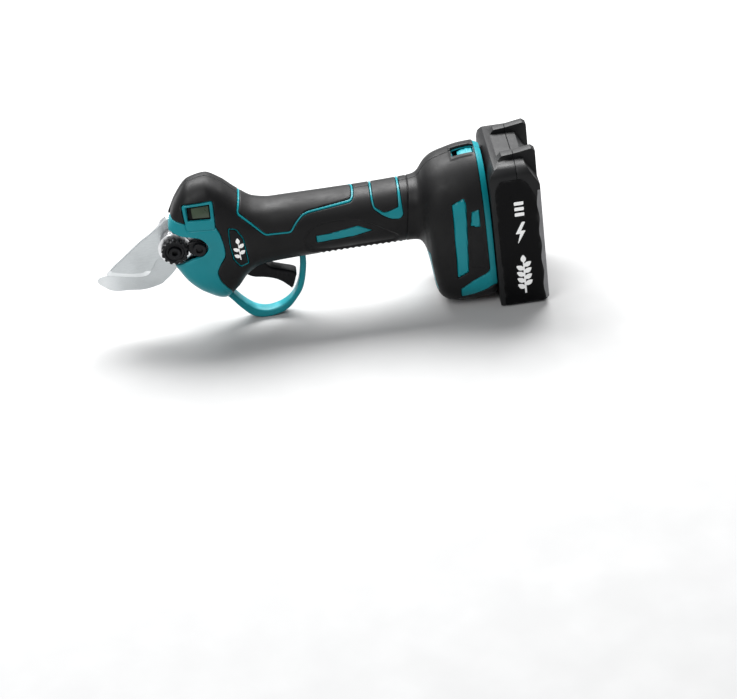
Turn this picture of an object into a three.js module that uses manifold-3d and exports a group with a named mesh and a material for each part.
// Battery electric pruner: a bypass cutting head driven by a bevel sector, a planetary
// gearbox and a brushless motor in the handle, with a slide-in battery at the rear.
// Millimetres. +X runs from the blade tips to the battery, +Z is up, -Y is the left side.
import * as THREE from 'three';
import { mergeVertices } from 'three/addons/utils/BufferGeometryUtils.js';
import Module from 'manifold-3d';

const wasm = await Module();
wasm.setup();

// ---------------------------------------------------------------- driving dimensions
const CENTRE_X = 45.25;            // design X of the middle of the tool's length
const AXIS_Z = 69.2;               // height of the drive line and of the blade pivot
const PIVOT_X = -48.6;             // blade pivot, on the drive line
const SKIN = 1.2;                  // thickness of the soft outer skin
const SHELL_OUT = 1.5;             // depth of the shell's outer face under the skin
const SHELL_IN = 3.7;              // depth of the shell's inner face
const COVER_WALL = 2.4;            // wall of the head covers
const SEAM = 0.15;                 // half of the gap between left and right halves
const AROUND = 20;                 // facets around the body
const BORE_SEGMENTS = 16;
const SKIN_END_X = 160;            // the skin stops here, ahead of the coloured rear rim

// body stations: X, top Z, bottom Z, half width, squareness of the upper and lower half
const BODY = [
  [-51, 87, 52.5, 17, 3.2, 3.2],
  [-44, 99.5, 38.5, 19.6, 3.0, 3.0],
  [-33, 111, 26.8, 20.9, 2.8, 2.8],
  [-22, 113.2, 21.6, 21.2, 2.8, 2.8],
  [-12, 107.5, 28, 21.2, 2.7, 2.7],
  [-3, 98.5, 38, 20.9, 2.6, 2.6],
  [8, 90.3, 43.6, 20.2, 2.4, 2.4],
  [20, 88, 44.7, 19.8, 2.4, 2.4],
  [110, 88.8, 45.7, 19.8, 2.4, 2.4],
  [116, 89.2, 45, 20.5, 2.4, 2.4],
  [119.2, 90.1, 41.5, 22.3, 2.4, 2.7],
  [121, 91.5, 32, 24.8, 2.4, 3.2],
  [123.4, 94.6, 12, 29.1, 2.4, 3.8],
  [126.5, 98, 5, 32.3, 2.4, 4.2],
  [132, 101.6, 2.4, 34.6, 2.4, 4.5],
  [140, 104, 1.6, 35.6, 2.4, 4.5],
  [151, 106.3, 1.4, 36, 2.4, 4.5],
  [159.5, 106.8, 1.4, 36, 2.4, 4.5],
  [164.8, 104.5, 2.4, 35, 2.4, 4.5],
];

// outlines in the X-Z plane
const COVER_EDGE = [
  [-70, 93], [-50, 92], [-44, 90.3], [-38, 88], [-22, 86], [-18.6, 84], [-16.2, 78], [-15, 68],
  [-15.4, 61], [-20, 54.8], [-23, 49], [-21.8, 41], [-15.8, 30], [-19, 10], [-70, 10],
];
const COVER_SLOT = [
  [-60, 84], [-51, 84], [-40, 78], [-32, 76], [-28, 72], [-25, 67], [-27, 63], [-32, 61.5],
  [-44, 58.5], [-51, 56], [-60, 56],
];
const PALM_EDGE = [
  [1, 130], [-0.5, 97], [-2.6, 89.8], [13.6, 72], [30.6, 71.3], [35.4, 77.6], [40, 81.4],
  [44.5, 82.6], [73.5, 85], [75, 87.4], [75, 130],
];
const THUMB_EDGE = [
  [88, 130], [88, 83], [90, 79], [98, 72], [104, 70], [107, 73], [106, 90], [104, 130],
];
const HAND_INSERT = [[47, 66], [71, 68], [77, 69], [87, 62], [71, 61], [46, 59]];
const REAR_INSERT = [
  [139.8, 80.7], [147.5, 84.2], [148.8, 80.4], [145.5, 30], [137.9, 26.2], [138.8, 55],
];
const DISPLAY_EDGE = [[-37, 103], [-19, 102], [-19, 88], [-37, 90]];
const PLATE_EDGE = [[-11, 81], [-6, 78], [-2, 72], [-1, 53], [-8, 52], [-10, 60]];
const MOVING_BLADE = [
  [-100, 50], [-96, 47], [-88, 45], [-80, 43.5], [-73, 44], [-69, 49], [-64, 56], [-58, 58.5],
  [-50, 55.5], [-42, 57.5], [-36.5, 64], [-35, 70], [-37, 78], [-43, 84.5], [-51, 86.5],
  [-57, 82], [-65, 76], [-73, 71], [-85, 62],
];
const FIXED_BLADE = [
  [-108, 44], [-104, 39], [-98, 35], [-87, 34], [-77, 33], [-66, 35], [-61, 38], [-54, 44],
  [-46, 54], [-38, 60], [-35.2, 69], [-38, 78.5], [-46, 82.5], [-55, 81], [-61, 75], [-66, 64],
  [-74, 54], [-84, 49.5], [-94, 49], [-104, 47.5],
];
const GUARD_OUTER = [
  [-27, 26], [-20, 19.5], [-14, 11], [-7, 3], [0, 0], [9, 0], [19, 3.5], [27, 11.5], [32.7, 20.6],
  [36.8, 37], [37.4, 52],
];
const GUARD_INNER = [
  [33, 52], [32.6, 38], [29.6, 24], [24, 13.6], [16, 7.6], [6, 5.2], [-2, 7.2], [-9, 13],
  [-16, 22], [-20, 30],
];
const TRIGGER = [
  [-7, 42], [-6, 48], [-2, 50.5], [3, 49], [7.5, 45.5], [10.5, 41], [13.5, 38.3], [20, 35.8],
  [28.6, 32.2], [28, 27.5], [24.8, 20.3], [22.2, 22.3], [18, 26.5], [13, 29.6], [6, 31.8],
  [0, 33], [-5, 36],
];
const LOCK_PLATE = [
  [-39, 65], [-39, 73], [-35, 76], [-28, 75], [-25, 69.5], [-26.5, 63], [-33, 61.5],
];
const TRIGGER_PIVOT = [-3, 46];
const LOCK_SCREW = [-32, 68.4];
const SCREW_SPOTS = [[-8, 92], [-18, 36.5], [127, 62]];

// layers of the cutting head, as Y ranges
const MOVING_Y = [-3.2, 0];
const FIXED_Y = [0.3, 4.3];
const FAR_PLATE_Y = [8.4, 11.2];
const SECTOR_Y = [-11.2, -8];
const NEAR_PLATE_Y = [-14.2, -12];

// gears
const PRESSURE = THREE.MathUtils.degToRad(25);
const MODULE = 0.8;
const SUN_TEETH = 9;
const PLANET_TEETH = 12;
const RING_TEETH = 33;
const PLANET_ORBIT = MODULE * (SUN_TEETH + PLANET_TEETH) / 2;
const BEVEL_PINION_TEETH = 9;
const BEVEL_GEAR_TEETH = 36;
const BEVEL_OUT = 24;              // cone distance along X of the pinion's large end
const BEVEL_IN = 17;               // and of its small end
const BEVEL_MODULE = 2 * BEVEL_OUT / BEVEL_GEAR_TEETH;

// battery
const PACK_HALF = 37.5;
const PACK_SPLIT_X = 183.5;
const PACK_TOP = 104.5;
const SLIDE_TOP = 76;              // top of the slide plate that hooks into the housing
const SLIDE_HALF = 26.5;           // half width of the plate's head
const NECK_HALF = 22.5;            // half width of its neck, between the rails
const CELL_RADIUS = 9.2;
const CELL_PITCH = 18.9;

// ---------------------------------------------------------------- materials
function plastic(colour, roughness) {
  return new THREE.MeshStandardMaterial({ color: colour, roughness, metalness: 0 });
}

function metal(colour, roughness) {
  return new THREE.MeshStandardMaterial({ color: colour, roughness, metalness: 1 });
}

const TEAL = plastic('#166a6f', 0.45);
const DARK = plastic('#1c1c1d', 0.75);
const GRIP = plastic('#242424', 0.9);
const BLACK = plastic('#101112', 0.55);
const RED = plastic('#c11516', 0.45);
const CIRCUIT = plastic('#1e5a34', 0.6);
const GLASS = plastic('#3c4c3c', 0.15);
const CELL = plastic('#2f6fae', 0.5);
const COPPER = metal('#a3622f', 0.45);
const STEEL = metal('#aab2b5', 0.3);
const DARK_STEEL = metal('#2a2c30', 0.5);
const ALUMINIUM = metal('#c3c6c9', 0.4);

// ---------------------------------------------------------------- geometry helpers
function solid(geometry) {
  const bare = geometry.index ? geometry.toNonIndexed() : geometry.clone();
  bare.deleteAttribute('normal');
  bare.deleteAttribute('uv');
  const merged = mergeVertices(bare, 1e-4);
  const vertProperties = new Float32Array(merged.attributes.position.array);
  const triVerts = new Uint32Array(merged.index.array);
  return new wasm.Manifold(new wasm.Mesh({ numProp: 3, vertProperties, triVerts }));
}

function surface(body) {
  const mesh = body.getMesh();
  const geometry = new THREE.BufferGeometry();
  geometry.setAttribute('position', new THREE.BufferAttribute(mesh.vertProperties, 3));
  geometry.setIndex(new THREE.BufferAttribute(mesh.triVerts, 1));
  geometry.computeVertexNormals();
  return geometry;
}

function join(bodies) {
  return bodies.reduce((sum, body) => sum.add(body));
}

function cut(body, tools) {
  return tools.reduce((rest, tool) => rest.subtract(tool), body);
}

function box(x, y, z) {
  const geometry = new THREE.BoxGeometry(x[1] - x[0], y[1] - y[0], z[1] - z[0]);
  geometry.translate((x[0] + x[1]) / 2, (y[0] + y[1]) / 2, (z[0] + z[1]) / 2);
  return solid(geometry);
}

function outline(points) {
  return new THREE.Shape(points.map(([a, b]) => new THREE.Vector2(a, b)));
}

// a rounded run of points: a spline through the given ones
function smooth(points, pieces) {
  const curve = new THREE.SplineCurve(points.map(([a, b]) => new THREE.Vector2(a, b)));
  return curve.getPoints(pieces).map((p) => [p.x, p.y]);
}

function closedSmooth(points, pieces) {
  const first = points[0];
  const ring = smooth([...points, first], pieces);
  return ring.slice(0, -1);
}

// a plate with an X-Z outline between two Y values
function plateXZ(points, y) {
  const geometry = new THREE.ExtrudeGeometry(outline(points), {
    depth: y[1] - y[0], bevelEnabled: false, curveSegments: 8,
  });
  geometry.rotateX(Math.PI / 2);
  geometry.translate(0, y[1], 0);
  return solid(geometry);
}

// a bar with a Y-Z outline between two X values
function barX(points, x) {
  const geometry = new THREE.ExtrudeGeometry(outline(points), {
    depth: x[1] - x[0], bevelEnabled: false, curveSegments: 8,
  });
  geometry.rotateX(Math.PI / 2);
  geometry.rotateZ(Math.PI / 2);
  geometry.translate(x[0], 0, 0);
  return solid(geometry);
}

function rodY(radius, centre, y, segments = BORE_SEGMENTS) {
  const geometry = new THREE.CylinderGeometry(radius, radius, y[1] - y[0], segments);
  geometry.translate(centre[0], (y[0] + y[1]) / 2, centre[1]);
  return solid(geometry);
}

function rodX(radius, x, y = 0, z = AXIS_Z, segments = BORE_SEGMENTS) {
  const geometry = new THREE.CylinderGeometry(radius, radius, x[1] - x[0], segments);
  geometry.rotateZ(Math.PI / 2);
  geometry.translate((x[0] + x[1]) / 2, y, z);
  return solid(geometry);
}

function tubeX(outer, inner, x, segments = 18) {
  return rodX(outer, x, 0, AXIS_Z, segments).subtract(
    rodX(inner, [x[0] - 1, x[1] + 1], 0, AXIS_Z, segments));
}

function circle(radius, count, cx = 0, cy = 0, phase = 0) {
  const points = [];
  for (let i = 0; i < count; i += 1) {
    const a = phase + (2 * Math.PI * i) / count;
    points.push([cx + radius * Math.cos(a), cy + radius * Math.sin(a)]);
  }
  return points;
}

function grow(points, distance) {
  const count = points.length;
  const turn = Math.sign(THREE.ShapeUtils.area(points.map(([x, y]) => ({ x, y }))));
  const normals = points.map((p, i) => {
    const q = points[(i + 1) % count];
    const length = Math.hypot(q[0] - p[0], q[1] - p[1]);
    return [turn * (q[1] - p[1]) / length, -turn * (q[0] - p[0]) / length];
  });
  return points.map((p, i) => {
    const a = normals[(i + count - 1) % count];
    const b = normals[i];
    const scale = distance / Math.max(0.35, 1 + a[0] * b[0] + a[1] * b[1]);
    return [p[0] + (a[0] + b[0]) * scale, p[1] + (a[1] + b[1]) * scale];
  });
}

// ---------------------------------------------------------------- body surface
function power(value, exponent) {
  return Math.sign(value) * Math.abs(value) ** exponent;
}

function bodyPoint(row, angle) {
  const [x, top, bottom, half, upper, lower] = BODY[row];
  const square = Math.sin(angle) > 0 ? upper : lower;
  const y = half * power(Math.cos(angle), 2 / square);
  const rise = ((top - bottom) / 2) * power(Math.sin(angle), 2 / square);
  return new THREE.Vector3(x, y, (top + bottom) / 2 + rise);
}

// the way out of the body at a station; the first and last stations only go sideways
function bodyNormal(row, angle) {
  const last = BODY.length - 1;
  const along = bodyPoint(Math.min(row + 1, last), angle).sub(bodyPoint(Math.max(row - 1, 0), angle));
  if (row === 0 || row === last) along.set(1, 0, 0);
  const around = bodyPoint(row, angle + 0.15).sub(bodyPoint(row, angle - 0.15));
  return around.cross(along).normalize();
}

// the body at a depth under its outer face; open ends run past the first and last stations
function bodyLoft(depth, openFront, openRear) {
  const last = BODY.length - 1;
  const geometry = new THREE.CylinderGeometry(1, 1, last, AROUND, last);
  const position = geometry.attributes.position;
  for (let i = 0; i < position.count; i += 1) {
    const row = Math.round(position.getY(i) + last / 2);
    const radial = Math.hypot(position.getX(i), position.getZ(i));
    const turn = Math.atan2(position.getX(i), position.getZ(i)) / (2 * Math.PI);
    const angle = 2 * Math.PI * ((Math.round(turn * AROUND) + AROUND) % AROUND) / AROUND;
    const at = bodyPoint(row, angle).addScaledVector(bodyNormal(row, angle), -depth);
    const [x, top, bottom] = BODY[row];
    if (radial < 0.5) at.set(x, 0, (top + bottom) / 2);
    const shift = (row === 0 && openFront ? -3 : 0) + (row === last && openRear ? 3 : 0);
    position.setXYZ(i, at.x + shift, at.y, at.z);
  }
  const body = solid(geometry);
  return body.volume() > 0 ? body : solid(flipped(geometry));
}

function flipped(geometry) {
  const index = geometry.index.array;
  for (let i = 0; i < index.length; i += 3) {
    const keep = index[i];
    index[i] = index[i + 1];
    index[i + 1] = keep;
  }
  return geometry;
}

const LOFT_OUTER = bodyLoft(0, false, false);
const LOFT_SKIN_IN = bodyLoft(SKIN, true, true);
const LOFT_SHELL_OUT = bodyLoft(SHELL_OUT, false, false);
const LOFT_SHELL_IN = bodyLoft(SHELL_IN, true, true);
const LOFT_COVER_IN = bodyLoft(COVER_WALL, true, true);
const LOFT_GROWN = bodyLoft(-0.35, true, true);
const BOTH_SIDES = [-60, 60];
const LEFT = box([-80, 200], [-60, -SEAM], [-20, 160]);
const RIGHT = box([-80, 200], [SEAM, 60], [-20, 160]);

function region(points, distance, y) {
  return plateXZ(distance ? grow(points, distance) : points, y);
}

// ---------------------------------------------------------------- housing shells and skins
const BATTERY_DOORWAY = box([138, 180], [-27.2, 27.2], [-10, 24]);
const TRIGGER_SLOT = box([-8, 31], [-6.6, 6.6], [20, 54]);
const POWER_SPOT = { x: [144.7, 159], y: [-8.3, 2.3] };
const KEY_DEPTH = 4;               // the power key's lower face, under the skin

function powerWindow(gap) {
  return box([POWER_SPOT.x[0] - gap, POWER_SPOT.x[1] + gap],
    [POWER_SPOT.y[0] - gap, POWER_SPOT.y[1] + gap], [100, 130]);
}

function screwBosses(sign) {
  const y = sign > 0 ? [SEAM, 40] : [-40, -SEAM];
  return join(SCREW_SPOTS.map((spot) => rodY(5, spot, y, 10)));
}

function screwHoles() {
  const holes = SCREW_SPOTS.map((spot) => rodY(1.8, spot, [-11.5, 15], 8));
  const pockets = SCREW_SPOTS.map((spot) => rodY(3.5, spot, [13.5, 45], 10));
  return [...holes, ...pockets];
}

function triggerBosses(sign) {
  const y = sign > 0 ? [7, 40] : [-40, -7];
  return rodY(3.4, TRIGGER_PIVOT, y, 10);
}

function shellHalf(side, sign) {
  const wall = LOFT_SHELL_OUT.subtract(LOFT_SHELL_IN);
  const rim = LOFT_OUTER.subtract(LOFT_SHELL_IN).intersect(
    box([SKIN_END_X + 0.3, 170], BOTH_SIDES, [0, 130]));
  const bosses = screwBosses(sign).add(triggerBosses(sign)).intersect(LOFT_SHELL_OUT);
  const whole = wall.add(rim).add(bosses).intersect(side);
  return cut(whole, [
    region(COVER_EDGE, 0.3, BOTH_SIDES), BATTERY_DOORWAY, TRIGGER_SLOT,
    rodY(1.58, TRIGGER_PIVOT, [-11.4, 11.4], 16), powerWindow(0.4), ...screwHoles(),
    region(DISPLAY_EDGE, -1.5, [-60, 0]),
  ]);
}

function skinLayer() {
  return LOFT_OUTER.subtract(LOFT_SKIN_IN).intersect(
    box([-80, SKIN_END_X], BOTH_SIDES, [0, 130]));
}

function skinHalf(side) {
  return cut(skinLayer().intersect(side), [
    region(COVER_EDGE, 0.3, BOTH_SIDES), region(PALM_EDGE, 1, BOTH_SIDES),
    region(THUMB_EDGE, 1, BOTH_SIDES), region(HAND_INSERT, 0, BOTH_SIDES),
    region(REAR_INSERT, 0, BOTH_SIDES), region(DISPLAY_EDGE, 0.3, [-60, 0]),
    region(PLATE_EDGE, 0.3, [-60, 0]), BATTERY_DOORWAY, TRIGGER_SLOT, powerWindow(0.4),
    ...SCREW_SPOTS.map((spot) => rodY(3.5, spot, [5, 45], 10)),
  ]);
}

function gripPatch(points) {
  return skinLayer().intersect(region(points, -1, BOTH_SIDES));
}

function headCover(side) {
  const wall = LOFT_OUTER.subtract(LOFT_COVER_IN);
  const cover = wall.intersect(region(COVER_EDGE, 0, BOTH_SIDES)).intersect(side);
  const mouth = box([-70, -38], [-5, 5.8], [20, 92]);
  return cut(cover, [mouth, ...screwHoles()]);
}

function leftCover() {
  return headCover(LEFT).subtract(plateXZ(COVER_SLOT, [-60, -5]));
}

function rightCover() {
  return headCover(RIGHT).subtract(rodY(9, [PIVOT_X, AXIS_Z], [5, 60]));
}

function powerButton() {
  const layer = LOFT_SHELL_OUT.subtract(bodyLoft(KEY_DEPTH, true, true));
  return layer.intersect(powerWindow(0));
}

function displayLens() {
  return skinLayer().intersect(region(DISPLAY_EDGE, 0, [-60, 0]));
}

function namePlate() {
  return skinLayer().intersect(region(PLATE_EDGE, 0, [-60, 0]));
}

function triggerGuard() {
  const band = [...smooth(GUARD_OUTER, 20), ...smooth(GUARD_INNER, 20)];
  const bar = plateXZ(band, [-5, 5]);
  return bar.subtract(LOFT_GROWN).intersect(box([-40, 50], [-6, 6], [-1, 60]));
}

// ---------------------------------------------------------------- cutting head
const PIVOT = [PIVOT_X, AXIS_Z];
const FIXED_SCREWS = [[PIVOT_X + 5.5, AXIS_Z + 9.5], [PIVOT_X + 5.5, AXIS_Z - 9.5]];
const SECTOR_PIN = [PIVOT_X - 4, AXIS_Z + 6.5];

function through(points, radius) {
  return points.map((spot) => rodY(radius, spot, BOTH_SIDES, 16));
}

function movingBlade() {
  const plate = plateXZ(closedSmooth(MOVING_BLADE, 34), MOVING_Y);
  return cut(plate, [rodY(4.08, PIVOT, BOTH_SIDES), ...through([SECTOR_PIN], 1.75)]);
}

function fixedBlade() {
  const plate = plateXZ(closedSmooth(FIXED_BLADE, 36), FIXED_Y);
  return cut(plate, [rodY(4.3, PIVOT, BOTH_SIDES), ...through(FIXED_SCREWS, 2.1)]);
}

function framePlate(radius, y) {
  const bridge = box([PIVOT_X, -21.3], y, [AXIS_Z - 8, AXIS_Z + 8]);
  return rodY(radius, PIVOT, y).add(bridge);
}

function headFrame() {
  const flange = rodX(15.3, [-23.8, -21.3], 0, AXIS_Z, 20);
  const boss = rodY(13.4, PIVOT, [4.6, FAR_PLATE_Y[0] + 0.5]);
  const body = join([
    flange, boss, framePlate(13.4, FAR_PLATE_Y), framePlate(10.5, NEAR_PLATE_Y),
  ]);
  return cut(body, [
    rodX(6.4, [-30, -18]), rodY(4.3, PIVOT, BOTH_SIDES), ...through(FIXED_SCREWS, 2.1),
    rodY(2.3, LOCK_SCREW, [-20, -5], 12),
  ]);
}

function pivotBolt() {
  const head = plateXZ(circle(7, 6, ...PIVOT, 0.2), [11.5, 16.5]);
  const end = rodY(2.1, PIVOT, [-30, -19.5], 6);
  return head.add(rodY(4, PIVOT, [-22, 11.6])).subtract(end);
}

function toothedNut() {
  const points = [];
  const teeth = 12;
  for (let i = 0; i < teeth; i += 1) {
    for (const [radius, part] of [[8.1, 0], [9.25, 0.18], [9.25, 0.62], [8.1, 0.8]]) {
      const a = (2 * Math.PI * (i + part)) / teeth;
      points.push([PIVOT_X + radius * Math.cos(a), AXIS_Z + radius * Math.sin(a)]);
    }
  }
  return plateXZ(points, [-21, -15.8]).subtract(rodY(4.3, PIVOT, BOTH_SIDES));
}

function pivotWasher() {
  return rodY(11.5, PIVOT, [-15.5, -14.5], 24).subtract(rodY(4.3, PIVOT, BOTH_SIDES));
}

function lockPlate() {
  return plateXZ(LOCK_PLATE, [-18.2, -16.2]).subtract(rodY(2.3, LOCK_SCREW, BOTH_SIDES, 16));
}

function lockScrew() {
  const head = rodY(4.6, LOCK_SCREW, [-21.2, -18.5]);
  const socket = rodY(1.8, LOCK_SCREW, [-30, -19.6], 6);
  return head.add(rodY(2, LOCK_SCREW, [-18.6, -12.2], 12)).subtract(socket);
}

function bladeScrew(spot) {
  return rodY(3.1, spot, [11.5, 13.2], 14).add(rodY(1.8, spot, [0.8, 11.6], 12));
}

// one straight bevel tooth of the sector, shrinking towards the pivot
function sectorTooth(angle) {
  const geometry = new THREE.BoxGeometry(1, 1, 1);
  const position = geometry.attributes.position;
  const pitchHalf = (Math.PI * BEVEL_MODULE) / 4 - 0.09;
  for (let i = 0; i < position.count; i += 1) {
    const reach = position.getX(i) > 0 ? BEVEL_OUT + 0.2 : BEVEL_IN;
    const scale = reach / BEVEL_OUT;
    const high = position.getY(i) > 0 ? 0.7 * BEVEL_MODULE : -1.5 * BEVEL_MODULE;
    const half = (pitchHalf - high * Math.tan(PRESSURE)) * Math.sign(position.getZ(i));
    const y = -reach * BEVEL_PINION_TEETH / BEVEL_GEAR_TEETH + high * scale;
    position.setXYZ(i, reach, y, half * scale);
  }
  geometry.rotateY(-angle);
  geometry.translate(PIVOT_X, 0, AXIS_Z);
  return solid(geometry);
}

function sectorRim() {
  const profile = [
    [15.5, -8.4], [BEVEL_OUT + 0.3, -8.4], [BEVEL_OUT + 0.3, -7.65], [15.5, -5], [15.5, -8.4],
  ];
  const geometry = new THREE.LatheGeometry(profile.map(([r, y]) => new THREE.Vector2(r, y)), 40);
  geometry.translate(PIVOT_X, 0, AXIS_Z);
  return solid(geometry);
}

function wedge(from, to, radius) {
  const points = [[0, 0]];
  for (let i = 0; i <= 6; i += 1) {
    const a = THREE.MathUtils.degToRad(from + ((to - from) * i) / 6);
    points.push([radius * Math.cos(a), radius * Math.sin(a)]);
  }
  return points.map(([x, z]) => [x + PIVOT_X, z + AXIS_Z]);
}

function sectorGear() {
  const fan = plateXZ(wedge(-21, 71, 40), BOTH_SIDES);
  const disc = rodY(BEVEL_OUT + 0.3, PIVOT, SECTOR_Y, 40).intersect(fan);
  const rim = sectorRim().intersect(fan);
  const hub = rodY(10.5, PIVOT, [SECTOR_Y[0], -3.5], 20);
  const teeth = [];
  for (let i = -2; i <= 6; i += 1) {
    teeth.push(sectorTooth(THREE.MathUtils.degToRad(10 * i + 5)));
  }
  const body = join([disc, rim, hub, ...teeth]);
  return cut(body, [rodY(4.08, PIVOT, BOTH_SIDES), ...through([SECTOR_PIN], 1.75)]);
}

// ---------------------------------------------------------------- spur gears
function involute(angle) {
  return Math.tan(angle) - angle;
}

// half the angle a tooth spans at a radius, thinned or thickened by an offset
function toothHalf(teeth, module, radius, offset) {
  const pitch = (module * teeth) / 2;
  const base = pitch * Math.cos(PRESSURE);
  const here = Math.acos(Math.min(1, base / Math.max(radius, base)));
  const atPitch = Math.PI / (2 * teeth) + offset / pitch;
  return atPitch + involute(PRESSURE) - involute(here);
}

function gearPoints(teeth, module, tip, root, offset, phase, straight = false) {
  const points = [];
  const base = ((module * teeth) / 2) * Math.cos(PRESSURE);
  const low = Math.max(root, base);
  const middle = (low + tip) / 2;
  for (let i = 0; i < teeth; i += 1) {
    const centre = phase + (2 * Math.PI * i) / teeth;
    const knee = straight ? [] : [[middle, middle]];
    const side = [[root, low], ...knee, [tip, tip]];
    const run = side.map(([radius, at]) => [radius, toothHalf(teeth, module, at, offset)]);
    const rising = run.map(([radius, half]) => [radius, centre - half]);
    const falling = [...run].reverse().map(([radius, half]) => [radius, centre + half]);
    points.push(...rising, ...falling);
  }
  return points.map(([radius, a]) => [radius * Math.cos(a), radius * Math.sin(a)]);
}

function spurGear(teeth, x, y, z, phase) {
  const pitch = (MODULE * teeth) / 2;
  const points = gearPoints(teeth, MODULE, pitch + 0.7, pitch - 0.92, -0.05, phase, true);
  return barX(points.map(([a, b]) => [a + y, b + z]), x);
}

function bevelPinion() {
  const pitch = (BEVEL_MODULE * BEVEL_PINION_TEETH) / 2;
  const tip = pitch + 0.85 * BEVEL_MODULE;
  const root = pitch - 0.95 * BEVEL_MODULE;
  const points = gearPoints(BEVEL_PINION_TEETH, BEVEL_MODULE, tip, root, -0.08, Math.PI, true);
  const teeth = coned(points, [PIVOT_X + BEVEL_IN + 0.3, PIVOT_X + BEVEL_OUT]);
  const hub = rodX(3.9, [PIVOT_X + BEVEL_OUT - 0.1, -20.9]);
  return teeth.add(hub).subtract(rodX(2.3, [-60, 0]));
}

// a bar along the drive line whose section shrinks towards the pivot
function coned(points, x) {
  const geometry = new THREE.ExtrudeGeometry(outline(points), {
    depth: 1, bevelEnabled: false, curveSegments: 4,
  });
  const position = geometry.attributes.position;
  for (let i = 0; i < position.count; i += 1) {
    const at = position.getZ(i) > 0.5 ? x[1] : x[0];
    const scale = (at - PIVOT_X) / BEVEL_OUT;
    position.setXYZ(i, at, position.getX(i) * scale, AXIS_Z + position.getY(i) * scale);
  }
  return solid(geometry);
}

// ---------------------------------------------------------------- gearbox and motor
const PLANET_ANGLES = [90, 210, 330].map((a) => THREE.MathUtils.degToRad(a));

function planetSpot(angle) {
  return [PLANET_ORBIT * Math.cos(angle), AXIS_Z + PLANET_ORBIT * Math.sin(angle)];
}

function planet(angle) {
  const [y, z] = planetSpot(angle);
  const phase = angle + Math.PI + Math.PI / PLANET_TEETH;
  return spurGear(PLANET_TEETH, [-6.8, 0.6], y, z, phase).subtract(
    rodX(1.52, [-20, 20], y, z, 16));
}

function planetCarrier() {
  const disc = rodX(12, [-10.2, -7.2]);
  const pins = PLANET_ANGLES.map((a) => rodX(1.45, [-7.3, 1.4], ...planetSpot(a), 12));
  const journal = rodX(3, [-20.5, -10.1]);
  return join([disc, ...pins, journal, rodX(2, [-31, -20.4], 0, AXIS_Z, 16)]);
}

function ringGear() {
  const pitch = (MODULE * RING_TEETH) / 2;
  const phase = PLANET_ANGLES[0] + Math.PI / RING_TEETH;
  const hollow = gearPoints(RING_TEETH, MODULE, pitch + 0.9, pitch - 0.62, 0.1, phase, true);
  const void_ = barX(hollow.map(([a, b]) => [a, b + AXIS_Z]), [-12, 5]);
  return rodX(15.5, [-10.7, 3.3], 0, AXIS_Z, 20).subtract(void_);
}

function gearboxFront() {
  const plate = rodX(15.5, [-14, -11], 0, AXIS_Z, 20);
  const boss = rodX(8, [-20.8, -13.9]);
  return cut(plate.add(boss), [rodX(6.5, [-21, -14.2]), rodX(3.5, [-15, -10])]);
}

function rotorShaft() {
  const sun = spurGear(SUN_TEETH, [-6.8, 0.8], 0, AXIS_Z, PLANET_ANGLES[0]);
  return sun.add(rodX(2, [0.7, 55]));
}

function motorCan() {
  const tube = tubeX(15, 13.8, [7, 52]);
  const front = tubeX(14, 6.2, [7, 9]);
  return tube.add(front);
}

function stator() {
  const points = [];
  const poles = 6;
  for (let i = 0; i < poles; i += 1) {
    const run = [[8, -0.4], [8, 0.4], [9.4, 0.36], [9.4, 0.18], [12.2, 0.14], [12.2, 0.9]];
    for (const [radius, turn] of run) {
      const a = (2 * Math.PI * i) / poles + turn;
      points.push([radius * Math.cos(a), AXIS_Z + radius * Math.sin(a)]);
    }
  }
  return rodX(13.4, [14, 44], 0, AXIS_Z, 18).subtract(barX(points, [13, 45]));
}

function rotorCore() {
  return tubeX(7.2, 2.3, [14, 44], 24);
}

function endCap() {
  return tubeX(15, 4.9, [52.4, 55.4], 32);
}

function controlBoard() {
  const board = box([62, 106], [-12, 12], [64, 65.6]);
  const parts = [
    box([66, 74], [-9, -1], [65.5, 69]), box([66, 74], [2, 10], [65.5, 69]),
    box([78, 90], [-6, 6], [65.5, 67.5]),
  ];
  const capacitor = rodY(4, [98, 69.4], [-8, 8], 16);
  return join([board, ...parts, capacitor]);
}

// ---------------------------------------------------------------- trigger
function trigger() {
  const body = plateXZ(closedSmooth(TRIGGER, 34), [-5.6, 5.6]);
  return cut(body, [
    rodY(1.58, TRIGGER_PIVOT, BOTH_SIDES, 16), rodY(1.7, [3, 46], BOTH_SIDES, 12),
  ]);
}

function coil(radius, wire, turns, height) {
  const points = [];
  const steps = turns * 6;
  for (let i = 0; i <= steps; i += 1) {
    const a = (2 * Math.PI * i) / 6;
    points.push(new THREE.Vector3(radius * Math.cos(a), radius * Math.sin(a), (height * i) / steps));
  }
  const path = new THREE.CatmullRomCurve3(points);
  const section = outline(circle(wire, 4));
  return new THREE.ExtrudeGeometry(section, { steps, bevelEnabled: false, extrudePath: path });
}

function triggerSpring() {
  const geometry = coil(2.2, 0.35, 3, 4.6);
  geometry.translate(11, 0, 47.6);
  return solid(geometry);
}

// ---------------------------------------------------------------- battery and its bay
function receiver() {
  const half = SLIDE_HALF + 2.3;
  const z = [29, SLIDE_TOP];
  const floor = box([141.5, 144], [-half, half], z);
  const walls = [-1, 1].map((s) => sideBox(s, [143.9, 163.6], [SLIDE_HALF + 0.4, half], z));
  const rails = [-1, 1].map((s) => sideBox(s, [156, 163.6], [NECK_HALF + 0.4, SLIDE_HALF + 0.5], z));
  const channel = box([140, 145], [-22.6, 22.6], [10, 38]);
  return join([floor, ...walls, ...rails]).subtract(channel);
}

function sideBox(sign, x, y, z) {
  return box(x, sign > 0 ? y : [-y[1], -y[0]], z);
}

const BLADE_ROWS = [-16, -8, 8, 16];

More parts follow.
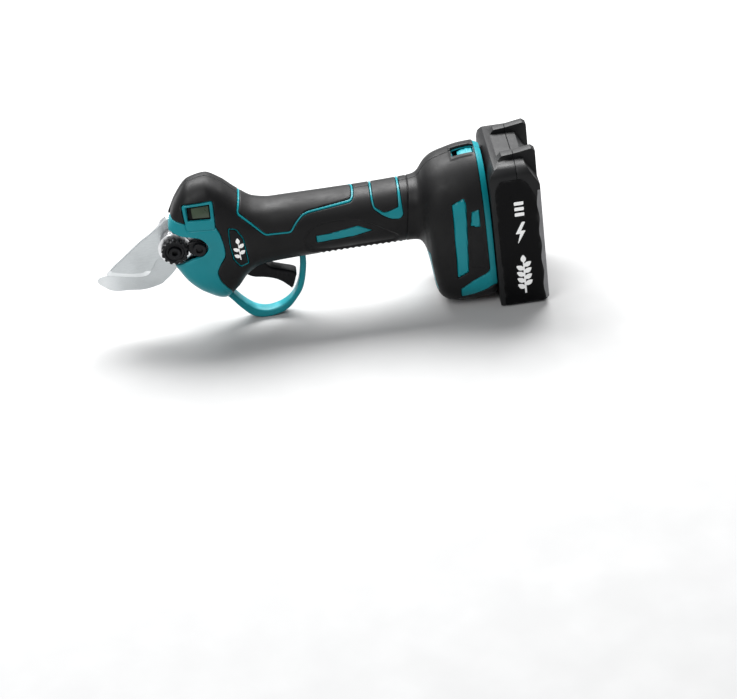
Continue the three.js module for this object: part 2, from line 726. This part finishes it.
function terminalBlock() {
  const block = box([146, 162], [-21, 21], [SLIDE_TOP + 1.5, SLIDE_TOP + 12]);
  const contacts = BLADE_ROWS.map((y) => box([149, 157], [y - 0.4, y + 0.4],
    [SLIDE_TOP - 14, SLIDE_TOP + 2]));
  return join([block, ...contacts]);
}

function packOutline() {
  return [
    [165.3, 1.5], [166.8, 0], [195, 0], [198.5, 4], [198.5, 90], [190, PACK_TOP], [174, PACK_TOP],
    [169.5, 103], [166.6, 99.5], [165.3, 95],
  ];
}

function roundedSection(half, low, high, radius) {
  const shape = new THREE.Shape();
  shape.moveTo(-half, low + 2);
  shape.lineTo(-half + 2, low);
  shape.lineTo(half - 2, low);
  shape.lineTo(half, low + 2);
  shape.lineTo(half, high - radius);
  shape.absarc(half - radius, high - radius, radius, 0, Math.PI / 2, false);
  shape.lineTo(-half + radius, high);
  shape.absarc(-half + radius, high - radius, radius, Math.PI / 2, Math.PI, false);
  return shape.getPoints(5).slice(0, -1).map((p) => [p.x, p.y]);
}

function packCase() {
  const slab = plateXZ(packOutline(), [-PACK_HALF, PACK_HALF]);
  const section = barX(roundedSection(PACK_HALF, 0, PACK_TOP, 8), [160, 205]);
  const fin = [
    [172, 103], [176, 107.4], [185, 108.2], [196, 110], [198.5, 108], [198.5, 88], [190, 103],
  ];
  const fins = [[-24, -17], [17, 24]].map((y) => plateXZ(fin, y));
  const hollow = plateXZ([
    [168, 3], [168, 96], [171.5, 100.5], [188.5, 100.5], [196, 88], [196, 5], [194, 3],
  ], [-33, 33]);
  return join([slab.intersect(section), ...fins]).subtract(hollow);
}

const GAUGE = { x: [186.2, 194], y: [-14, 14] };

function gaugeWindow(gap) {
  return box([GAUGE.x[0] - gap, GAUGE.x[1] + gap], [GAUGE.y[0] - gap, GAUGE.y[1] + gap],
    [-1, 4.5]);
}

function packBase() {
  return packCase().intersect(box([PACK_SPLIT_X + 0.3, 210], BOTH_SIDES, [-5, 120])).subtract(
    gaugeWindow(0.3));
}

// slide plate: a T-shaped platform with terminal slots and the latch pocket
function slidePlate() {
  const head = box([146, 155.7], [-SLIDE_HALF, SLIDE_HALF], [12, SLIDE_TOP]);
  const neck = box([155.6, 165.4], [-NECK_HALF, NECK_HALF], [12, SLIDE_TOP]);
  const slots = BLADE_ROWS.map((y) => box([147.6, 158.6], [y - 1.1, y + 1.1],
    [SLIDE_TOP - 18, SLIDE_TOP + 1]));
  const hook = box([145, 153.4], [-22.6, 22.6], [28.6, 36.6]);
  const stem = box([147.4, 156.2], [-8.6, 8.6], [5, 30]);
  return cut(head.add(neck), [...slots, hook, stem]);
}

function packCover() {
  const front = packCase().intersect(box([160, PACK_SPLIT_X], BOTH_SIDES, [-5, 120]));
  return front.add(slidePlate()).subtract(box([160, 172], [-17, 17], [-2, 11.7]));
}

function batteryLatch() {
  const hook = box([144.3, 150.5], [-22, 22], [29.2, 36]);
  const stem = box([148, 153.4], [-8, 8], [8, 30]);
  const button = box([150, 162], [-16, 16], [3, 11.4]);
  return join([hook, stem, button]);
}

function latchSpring() {
  const geometry = coil(1.3, 0.25, 3, 2.2);
  geometry.rotateY(Math.PI / 2);
  geometry.translate(150.8, 0, 33);
  return solid(geometry);
}

function cell(row) {
  return rodY(CELL_RADIUS, [182, 13 + CELL_PITCH * row], [-32.5, 32.5], 14);
}

const GAUGE_BUTTON = { x: [188, 192], y: [-11, -7] };

function gaugeButton() {
  return box(GAUGE_BUTTON.x, GAUGE_BUTTON.y, [0.5, 2.6]);
}

function gaugePanel() {
  const plate = box(GAUGE.x, GAUGE.y, [0.9, 2.2]);
  const hole = box([187.7, 192.3], [-11.3, -6.7], [-1, 4]);
  return plate.subtract(hole);
}

function housingScrew(spot) {
  const head = rodY(3, spot, [13.8, 16], 14);
  const slot = rodY(1.5, spot, [14.8, 20], 6);
  return head.add(rodY(1.5, spot, [-10, 13.9], 10)).subtract(slot);
}

// ---------------------------------------------------------------- assembly
const tool = new THREE.Group();
tool.position.x = -CENTRE_X;

function place(name, body, material) {
  const mesh = new THREE.Mesh(surface(body), material);
  mesh.name = name;
  tool.add(mesh);
}

function placeHousing() {
  place('left_shell', shellHalf(LEFT, -1), TEAL);
  place('right_shell', shellHalf(RIGHT, 1), TEAL);
  place('left_overmould', skinHalf(LEFT), DARK);
  place('right_overmould', skinHalf(RIGHT), DARK);
  place('palm_grip', gripPatch(PALM_EDGE), GRIP);
  place('thumb_grip', gripPatch(THUMB_EDGE), GRIP);
  place('head_cover_left', leftCover(), TEAL);
  place('head_cover_right', rightCover(), TEAL);
  place('trigger_guard', triggerGuard(), TEAL);
  place('display_lens', displayLens(), GLASS);
  place('display_board', box([-35.5, -20.5], [-13.4, -11.6], [90, 100]), CIRCUIT);
  place('name_plate', namePlate(), BLACK);
  place('power_button', powerButton(), TEAL);
  SCREW_SPOTS.forEach((spot, i) => {
    place(`housing_screw_${i + 1}`, housingScrew(spot), DARK_STEEL);
  });
}

function placeHead() {
  place('head_frame', headFrame(), ALUMINIUM);
  place('fixed_blade', fixedBlade(), STEEL);
  place('moving_blade', movingBlade(), STEEL);
  place('sector_gear', sectorGear(), STEEL);
  place('sector_pin', rodY(1.45, SECTOR_PIN, [-11, -0.3], 12), STEEL);
  place('pivot_bolt', pivotBolt(), STEEL);
  place('pivot_washer', pivotWasher(), STEEL);
  place('pivot_nut', toothedNut(), DARK_STEEL);
  place('lock_plate', lockPlate(), DARK_STEEL);
  place('lock_screw', lockScrew(), DARK_STEEL);
  FIXED_SCREWS.forEach((spot, i) => {
    place(`blade_screw_${i + 1}`, bladeScrew(spot), DARK_STEEL);
  });
}

function placeDrive() {
  place('bevel_pinion', bevelPinion(), STEEL);
  place('planet_carrier', planetCarrier(), STEEL);
  PLANET_ANGLES.forEach((angle, i) => place(`planet_gear_${i + 1}`, planet(angle), STEEL));
  place('ring_gear', ringGear(), ALUMINIUM);
  place('gearbox_front', gearboxFront(), ALUMINIUM);
  place('front_bearing', tubeX(6.2, 3.3, [-20.4, -14.8], 24), STEEL);
  place('rotor_shaft', rotorShaft(), STEEL);
  place('rotor_core', rotorCore(), DARK_STEEL);
  place('stator', stator(), COPPER);
  place('motor_can', motorCan(), DARK_STEEL);
  place('motor_end_cap', endCap(), ALUMINIUM);
  place('control_board', controlBoard(), CIRCUIT);
}

function placeTrigger() {
  place('trigger', trigger(), BLACK);
  place('trigger_pin', rodY(1.5, TRIGGER_PIVOT, [-11, 11], 16), STEEL);
  place('trigger_magnet', rodY(1.4, [3, 46], [-4.5, 4.5], 12), STEEL);
  place('trigger_spring', triggerSpring(), STEEL);
}

function placeBattery() {
  place('battery_receiver', receiver(), BLACK);
  place('terminal_block', terminalBlock(), BLACK);
  place('battery_cover', packCover(), DARK);
  place('battery_base', packBase(), DARK);
  for (let row = 0; row < 5; row += 1) {
    place(`battery_cell_${row + 1}`, cell(row), CELL);
  }
  place('battery_board', box([169, 170.6], [-30, 30], [14, 96]), CIRCUIT);
  place('gauge_panel', gaugePanel(), BLACK);
  place('gauge_button', gaugeButton(), RED);
  place('battery_latch', batteryLatch(), RED);
  place('latch_spring', latchSpring(), STEEL);
}

placeHousing();
placeHead();
placeDrive();
placeTrigger();
placeBattery();

export default tool;
